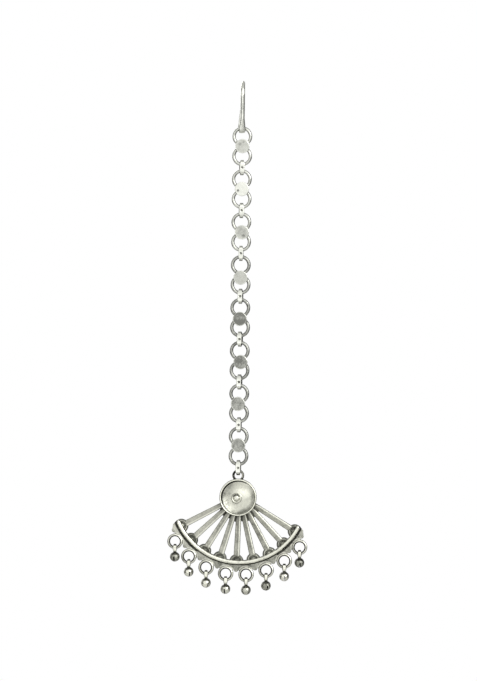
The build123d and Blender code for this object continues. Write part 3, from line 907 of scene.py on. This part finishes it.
cup_silver = silver(
    "cup_silver", Bright=OLD_BRIGHT, Film_Colour=OLD_FILM, Flank=0.8, Blotch=0.2, Smooth=0.26
)
finish_piece(cup_and_blades, cup_silver, "pendant", "oxidised_silver", "pendant")

# ---- Pendant: rim and loops --------------------------------------------------
# Half-round scallops close the blades' ends behind a stout arc wire. Outside it a flat
# band with blunt points carries eight soldered wire loops for the fringe.
SCALLOP_CENTRE_R = 19.0 * MM
SCALLOP_RADIUS = 2.05 * MM
SCALLOP_PROFILE = [           # radius and height in the pendant's plane, in mm
    (2.05, 0.15), (1.75, 0.15), (1.70, 0.42), (1.35, 0.42), (1.30, 0.15), (0.80, 0.15),
    (0.75, 0.42), (0.40, 0.50), (0.05, 0.52),
]
SCALLOP_RIDGE = (1.2 * MM, 1.8 * MM)
SCALLOP_BUTTON = 0.85 * MM
SCALLOP_BLACK = 0.6           # in its grooves, but not on its flat back
SCALLOP_BACK = 0.4 * MM
SCALLOP_FILM = [0.75, 0.95, 0.75, 0.95, 0.85, 0.75, 0.60, 0.90, 0.92]     # left to right
ARC_RADIUS = 19.23 * MM
ARC_WIRE = 1.25 * MM
ARC_DEPTH = 0.4 * MM
ARC_HALF_ANGLE = radians(64.2)
ARC_BACK_FILM = 0.6           # behind this depth, and none in front of it
ARC_BACK_DEPTH = 0.3 * MM
ARC_FOOT = 0.42 * MM          # a black line of oxide and painted shadow starts here, from the arc wire's middle,
ARC_FOOT_END = 0.9 * MM       # and ends here, or further out beyond an angle to each side
ARC_FOOT_SIDE_END = 1.25 * MM
ARC_FOOT_SIDE_START = 35.0
ARC_FOOT_DEPTH = 0.5 * MM     # it doesn't climb the wire past this depth
ARC_INSIDE = 0.3 * MM         # this far inside the wire's middle, the scallops start
BAND_INNER_R = 19.0 * MM
BAND_OUTER_R = 21.15 * MM
BAND_FRONT = 0.15 * MM
BAND_HALF_ANGLE = radians(66.0)       # at the start of its slanted ends
BAND_SLANT_START_R = 19.6 * MM
BAND_OUTER_HALF_ANGLE = radians(63.9) # where the slants meet its outer edge
CUSP_ROOT_R = 20.85 * MM      # inside the band
CUSP_TIP_R = 22.1 * MM
CUSP_HALF_WIDTH = 1.6 * MM
CUSP_TIP_SCALE = 0.15
LOOPS = 8
LOOP_PITCH = 14.9
LOOP_CENTRE_R = 22.9 * MM
LOOP_RADIUS = 1.825 * MM
LOOP_WIRE = 0.85 * MM
BAND_FILM = [0.48, 0.55, 0.72, 0.85, 0.80, 0.85, 0.85, 0.70, 0.70]    # at each cusp
BAND_BLACK = 0.16
BAND_RUBBED = 0.45            # share of the film left beside a loop, out to so far from it
BAND_RUBBED_WIDTH = 0.35 * MM
BAND_SKIN = 0.1 * MM          # skin up to this far from the band's front is the band's
CUSP_GRIME = [0.05, 0.15, 0.25, 0.3, 0.1, 0.15, 0.2, 0.2, 0.1]     # left to right
CUSP_START_R = 20.95 * MM
LOOP_LIT_SIDE = Vector((0.8, 0, 0.6))   # the side where the loops are painted lit
LOOP_FILM = 0.36              # and so much less on that side, more on the other
LOOP_FILM_SWING = 0.3
LOOP_INSIDE = 0.06 * MM       # all black this far inside a loop's middle line
LOOP_LIT_START = -0.2      # 1 is squarely on the painted lit side, -1 is opposite
LOOP_OUTLINE_STARTS = (0.3 * MM, 0.2 * MM)     # outside that line: lit side, elsewhere
LOOP_OUTLINE_BLACKS = (0.7, 0.9)


def upright(radius, depth=0.0):
    """Place straight down from the fan's middle, before the piece is swung."""
    return fan_centre + Vector((0, -depth, -radius))


def spoke(angle, radius, depth=0.0):
    """Place on a spoke of the fan."""
    turn = angle + FAN_TURN
    return fan_centre + Vector((-sin(turn) * radius, -depth, -cos(turn) * radius))


def scallop(angle):
    """One half-round scallop, cut off flat under the arc wire."""
    piece = turned(
        upright(SCALLOP_CENTRE_R), SCALLOP_RADIUS, PENDANT_BACK, SCALLOP_PROFILE, sides=48
    )
    take(piece)
    bpy.ops.object.mode_set(mode="EDIT")
    bpy.ops.mesh.select_all(action="SELECT")
    bpy.ops.mesh.bisect(
        plane_co=upright(ARC_RADIUS), plane_no=(0, 0, -1), use_fill=True, clear_outer=True
    )
    let_go()
    return swing(piece, angle)


def cusp(angle):
    """A blunt point on the band's outer edge."""
    let_go()
    height = CUSP_TIP_R - CUSP_ROOT_R
    bpy.ops.mesh.primitive_cube_add(
        size=1,
        location=upright(CUSP_ROOT_R + height / 2, (BAND_FRONT + PENDANT_BACK) / 2),
        scale=(2 * CUSP_HALF_WIDTH, BAND_FRONT - PENDANT_BACK, height),
    )
    piece = settle(bpy.context.object)
    middle_z = upright(CUSP_ROOT_R + height / 2).z
    pick(piece, lambda place: place.z < middle_z)
    bpy.ops.transform.resize(value=(CUSP_TIP_SCALE, 1, 1), center_override=upright(CUSP_TIP_R))
    let_go()
    return swing(piece, angle)


scallop_middles = [spoke(angle, SCALLOP_CENTRE_R) for angle in fan(BLADES, BLADE_PITCH)]
loop_middles = [spoke(angle, LOOP_CENTRE_R) for angle in fan(LOOPS, LOOP_PITCH)]


def nearest_of(middles, place):
    """Which of like pieces a point is nearest, and how far from its middle."""
    distances = [apart(place, middle) for middle in middles]
    out = min(distances)
    return distances.index(out), out


def loop_place(place):
    """How far a point is from its loop's middle, and how squarely on the painted lit side."""
    number, out = nearest_of(loop_middles, place)
    return out, (place - loop_middles[number]).dot(LOOP_LIT_SIDE) / out


def rim_film(place):
    """Film over the rim: none on the arc wire, thick in the scallops, some on the band."""
    radius, angle = fan_place(place)
    if abs(radius - ARC_RADIUS) < ARC_WIRE / 2:
        return 0.0 if place.y < -ARC_BACK_DEPTH else ARC_BACK_FILM
    if radius < ARC_RADIUS:
        number, out = nearest_of(scallop_middles, place)
        raised = out < SCALLOP_BUTTON or SCALLOP_RIDGE[0] < out < SCALLOP_RIDGE[1]
        return SCALLOP_FILM[number] if raised else 1.0
    out, rubbed = loop_place(place)
    # Painted light: a loop's film is thinner on its lit side.
    if abs(out - LOOP_RADIUS) < LOOP_WIRE / 2 and place.y < -BAND_FRONT:
        return LOOP_FILM - LOOP_FILM_SWING * rubbed
    sector = min(max(LOOPS / 2 - angle / LOOP_PITCH, 0), LOOPS)
    before = min(int(sector), LOOPS - 1)
    film = BAND_FILM[before] + (BAND_FILM[before + 1] - BAND_FILM[before]) * (sector - before)
    in_front = place.y < BAND_SKIN / 2 - BAND_FRONT
    if out < LOOP_RADIUS + LOOP_WIRE / 2 + BAND_RUBBED_WIDTH and in_front:
        return BAND_RUBBED * film
    return film


def rim_grime_and_shade(place):
    """Black along the foot of the arc wire, as oxide and painted shadow, round each scallop and
    along the loops, lighter on their painted lit side.
    """
    radius, angle = fan_place(place)
    beyond = radius - ARC_RADIUS
    foot_end = ARC_FOOT_SIDE_END if abs(angle) > ARC_FOOT_SIDE_START else ARC_FOOT_END
    if ARC_FOOT < beyond < foot_end and place.y > -ARC_FOOT_DEPTH:
        return 1.0
    if beyond < -ARC_INSIDE and place.y < SCALLOP_BACK:
        _, out = nearest_of(scallop_middles, place)
        if out > SCALLOP_RIDGE[1] or SCALLOP_BUTTON < out < SCALLOP_RIDGE[0]:
            return SCALLOP_BLACK
    out, rubbed = loop_place(place)
    outward = out - LOOP_RADIUS
    if -LOOP_WIRE < outward < -LOOP_INSIDE:
        return 1.0
    side = 0 if rubbed > LOOP_LIT_START else 1
    if LOOP_OUTLINE_STARTS[side] < outward < LOOP_WIRE / 2 and place.y > -ARC_BACK_DEPTH:
        return LOOP_OUTLINE_BLACKS[side]
    if radius > CUSP_START_R and outward > LOOP_WIRE / 2:
        return CUSP_GRIME[round(LOOPS / 2 - angle / LOOP_PITCH)]
    return BAND_BLACK if place.y > -BAND_FRONT - BAND_SKIN and beyond > 0 else 0.0


arc = wire_end(
    spoke(ARC_HALF_ANGLE, ARC_RADIUS, ARC_DEPTH),
    (cos(ARC_HALF_ANGLE + FAN_TURN), 0, -sin(ARC_HALF_ANGLE + FAN_TURN)),
    ARC_WIRE,
)
bend_round(fan_centre, (0, -1, 0), 2 * ARC_HALF_ANGLE, steps=96)
let_go()
arc_ends = [
    bead(spoke(angle, ARC_RADIUS, ARC_DEPTH), ARC_WIRE / 2)
    for angle in (ARC_HALF_ANGLE, -ARC_HALF_ANGLE)
]
let_go()
bpy.ops.mesh.primitive_plane_add(
    size=1,
    location=upright((BAND_INNER_R + BAND_OUTER_R) / 2, (BAND_FRONT + PENDANT_BACK) / 2),
    rotation=(0, pi / 2, 0),
)
band = bpy.context.object
band.scale = (BAND_OUTER_R - BAND_INNER_R, BAND_FRONT - PENDANT_BACK, 1)
settle(band)
swing(band, BAND_HALF_ANGLE)
take(band)
bpy.ops.object.mode_set(mode="EDIT")
bpy.ops.mesh.select_all(action="SELECT")
bend_round(fan_centre, (0, -1, 0), 2 * BAND_HALF_ANGLE, steps=96)
for side in (1, -1):
    slant_start = spoke(side * BAND_HALF_ANGLE, BAND_SLANT_START_R)
    slant = spoke(side * BAND_OUTER_HALF_ANGLE, BAND_OUTER_R) - slant_start
    bpy.ops.mesh.select_all(action="SELECT")
    bpy.ops.mesh.bisect(
        plane_co=slant_start,
        plane_no=slant.cross(Vector((0, -side, 0))).normalized(),
        use_fill=True,
        clear_outer=True,
    )
let_go()
scallops = [scallop(angle) for angle in fan(BLADES, BLADE_PITCH)]
cusps = [cusp(angle) for angle in fan(LOOPS + 1, LOOP_PITCH)]
loops = [wire_ring(middle, LOOP_RADIUS, LOOP_WIRE) for middle in loop_middles]
rim = solder(
    "rim_and_loops",
    [arc, *arc_ends, band, *scallops, *cusps, *loops],
    grain=0.105,
    melt=3,
    forge=0.05,
)
tarnish(rim, rim_film)
tarnish(rim, rim_grime_and_shade, "grime_and_shade")
rim_silver = silver(
    "rim_silver",
    Bright=OLD_BRIGHT,
    Film_Colour=OLD_FILM,
    Flank_Start=0.70,
    Flank_End=0.28,
    Flank=0.95,
    Blotch=0.4,
    Smooth=0.2,
)
finish_piece(rim, rim_silver, "pendant", "oxidised_silver", "pendant")

# ---- Bells -------------------------------------------------------------------
# A hollow ball of two soldered halves, slit crosswise from below, on an eye of strip
# that hangs in its loop. There are eight, and each has come to rest turned its own way.
BELL_RADIUS = 1.425 * MM
BELL_WALL = 0.36 * MM
BELL_SLIT = 0.34 * MM
BELL_SLIT_TOP = -0.1 * MM
BELL_SAW_LENGTH = 3.135 * MM
BELL_EYE_INSIDE = 0.72 * MM
BELL_EYE_STRIP = 0.33 * MM
BELL_EYE_WIDTH = 1.2 * MM
BELL_EYE_STRETCH = 0.4 * MM
BELL_TURNS = [78.0, 15.0, 30.0, 75.0, 45.0, 20.0, 5.0, 98.0]     # of the slits, in degrees
BELL_CAP = 0.66 * MM          # above this the ball is black round its eye, a painted shade
BELL_CAP_SHADE = 0.9
BELL_EYE_START = 1.539 * MM   # the eye is clear of the ball above this
BELL_EYE_TOP = 0.42 * MM      # its top is black down to here,
BELL_EYE_EDGE = 0.408 * MM    # its edges from here outward,
BELL_EYE_BACK = 0.3 * MM      # and all of it behind this depth
BELL_EYE_BLACK = 0.95
BELL_SKIN = 0.1 * MM          # deeper than this the ball is painted black, the shade inside its hollow
BELL_FILM = [0.85, 0.15, 0.15, 0.35, 0.40, 0.65, 0.15, 0.90]


def bell_shell(centre, turn):
    """The hollow ball with its two crossed slits."""
    let_go()
    bpy.ops.mesh.primitive_uv_sphere_add(
        segments=48, ring_count=32, radius=BELL_RADIUS, location=centre
    )
    piece = settle(bpy.context.object)
    work(piece, "SOLIDIFY", thickness=BELL_WALL, offset=-1.0)
    for angle in (turn, turn + 90):
        let_go()
        bpy.ops.mesh.primitive_cube_add(
            size=1,
            location=centre - Vector((0, 0, BELL_SLIT_TOP + BELL_RADIUS / 2)),
            rotation=(0, 0, radians(angle)),
            scale=(BELL_SAW_LENGTH, BELL_SLIT, BELL_RADIUS),
        )
        saw = settle(bpy.context.object)
        work(piece, "BOOLEAN", object=saw, operation="DIFFERENCE", solver="EXACT")
        take(saw)
        bpy.ops.object.delete()
    return piece


def bell_film(number, ball_centre):
    """Film over a bell's ball, and none on its eye."""
    return lambda place: BELL_FILM[number] if place.z < ball_centre.z + BELL_RADIUS else 0.0


def bell_shade_and_grime(ball_centre, top_z):
    """Painted shade inside the ball, in its slits and on its cap; black along the edges of its
    eye.
    """

    def grime_at(place):
        above = place.z - ball_centre.z
        if above > BELL_EYE_START:
            at_edge = abs(place.x - ball_centre.x) > BELL_EYE_EDGE
            at_top = place.z > top_z - BELL_EYE_TOP
            return BELL_EYE_BLACK if at_edge or at_top or place.y > -BELL_EYE_BACK else 0.0
        if (place - ball_centre).length < BELL_RADIUS - BELL_SKIN:
            return 1.0
        return BELL_CAP_SHADE if above > BELL_CAP else 0.0

    return grime_at


bell_silver = silver(
    "bell_silver", Bright=OLD_BRIGHT, Film_Colour=OLD_FILM, Flank=0.75, Blotch=0.3, Smooth=0.22
)
for number in range(LOOPS):
    low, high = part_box(f"bell_{number + 1}")
    ball_centre = Vector(((low.x + high.x) / 2, 0, low.z + BELL_RADIUS))
    eye_height = 2 * (BELL_EYE_INSIDE + BELL_EYE_STRIP) + BELL_EYE_STRETCH
    eye_middle = Vector((ball_centre.x, 0, high.z - eye_height / 2))
    parts = [
        bell_shell(ball_centre, BELL_TURNS[number]),
        strip_link(eye_middle, BELL_EYE_STRETCH, BELL_EYE_INSIDE, BELL_EYE_WIDTH, BELL_EYE_STRIP),
    ]
    bell = solder(f"slit_bell_{number + 1}", parts, grain=0.08, melt=3, ends=0.45)
    tarnish(bell, bell_film(number, ball_centre))
    tarnish(bell, bell_shade_and_grime(ball_centre, high.z), "grime_and_shade")
    finish_piece(bell, bell_silver, "pendant", "oxidised_silver", f"bell_{number + 1}")

# ---- Floor, light and camera -------------------------------------------------
# The jewel hangs well above a pale round floor, in soft light from large lamps.
FLOOR_DROP = 0.30
FLOOR_RADIUS = 0.45
FLOOR_THICKNESS = 0.01
VIEW_MIDDLE = Vector((-0.0004, 0, -0.074))
VIEW_HEIGHT = 0.1975
VIEW_DISTANCE = 0.9
VIEW_ROLL = radians(-0.69)
SENSOR = 0.036

let_go()
bpy.ops.mesh.primitive_cylinder_add(
    vertices=128, radius=FLOOR_RADIUS, depth=FLOOR_THICKNESS, location=(0, 0, -FLOOR_DROP)
)
floor = bpy.context.object
floor.name = "floor"
pale = bpy.data.materials.new("pale_floor")
pale.use_nodes = True
paint = pale.node_tree.nodes["Principled BSDF"].inputs
paint["Base Color"].default_value = (0.8, 0.8, 0.79, 1)
paint["Roughness"].default_value = 0.9
floor.data.materials.append(pale)


def soft_lamp(name, place, width, height, power):
    """A large soft lamp, turned to the jewel."""
    data = bpy.data.lights.new(name, "AREA")
    data.shape = "RECTANGLE"
    data.size, data.size_y = width, height
    data.energy = power
    lamp = bpy.data.objects.new(name, data)
    bpy.context.scene.collection.objects.link(lamp)
    lamp.location = place
    lamp.rotation_euler = (VIEW_MIDDLE - Vector(place)).to_track_quat("-Z", "Y").to_euler()
    lamp.visible_camera = False


soft_lamp("key", (0.35, -0.7, 0.45), 0.9, 0.9, 0.9)
soft_lamp("fill", (-0.6, -0.5, 0.1), 0.4, 0.6, 0.6)
soft_lamp("back_key", (-0.3, 0.7, 0.4), 0.5, 0.5, 1.2)

world = bpy.data.worlds.new("studio")
bpy.context.scene.world = world
world.use_nodes = True
tree = world.node_tree
tree.nodes.clear()
direction = node(tree, "TexCoord").outputs["Generated"]
split = node(tree, "SeparateXYZ", None, Vector=direction)
front = sum_up(tree, "MULTIPLY", split.outputs["Y"], -1.0)
room = ease(tree, front, 0.30, 1.0, 0.10, 0.95)
room = sum_up(tree, "ADD", room, ease(tree, front, -0.15, -0.75, 0.0, 0.50))
overhead = ease(tree, split.outputs["Z"], 0.15, 0.8, 1.0, 0.8)
room = sum_up(tree, "MULTIPLY", room, overhead)
for aim, wide, narrow, strength in (
    ((0.62, -0.70, 0.34), 0.93, 0.98, 3.6),
    ((-0.36, -0.84, -0.40), 0.88, 0.97, 0.5),
    ((-0.55, 0.75, 0.35), 0.86, 0.96, 1.8),
    ((0.0, -0.25, 0.97), 0.60, 0.90, 0.55),
):
    facing = node(
        tree,
        "VectorMath",
        {"operation": "DOT_PRODUCT"},
        n0=direction,
        n1=Vector(aim).normalized(),
    ).outputs["Value"]
    room = sum_up(tree, "ADD", room, ease(tree, facing, wide, narrow, 0.0, strength))
seen = node(tree, "LightPath").outputs["Is Camera Ray"]
strength = node(tree, "Mix", None, n0=seen, n2=room, n3=1.0).outputs[0]
air = node(tree, "Background", None, Color=(1, 1, 1, 1), Strength=strength)
node(tree, "OutputWorld", None, Surface=air.outputs[0])
bpy.context.scene.view_settings.view_transform = "Standard"

eye = bpy.data.cameras.new("camera")
eye.lens = SENSOR * 1000 * VIEW_DISTANCE / VIEW_HEIGHT
eye.sensor_width = SENSOR * 1000
camera = bpy.data.objects.new("camera", eye)
bpy.context.scene.collection.objects.link(camera)
camera.location = VIEW_MIDDLE + Vector((0, -VIEW_DISTANCE, 0))
camera.rotation_euler = (pi / 2, VIEW_ROLL, 0)
bpy.context.scene.camera = camera
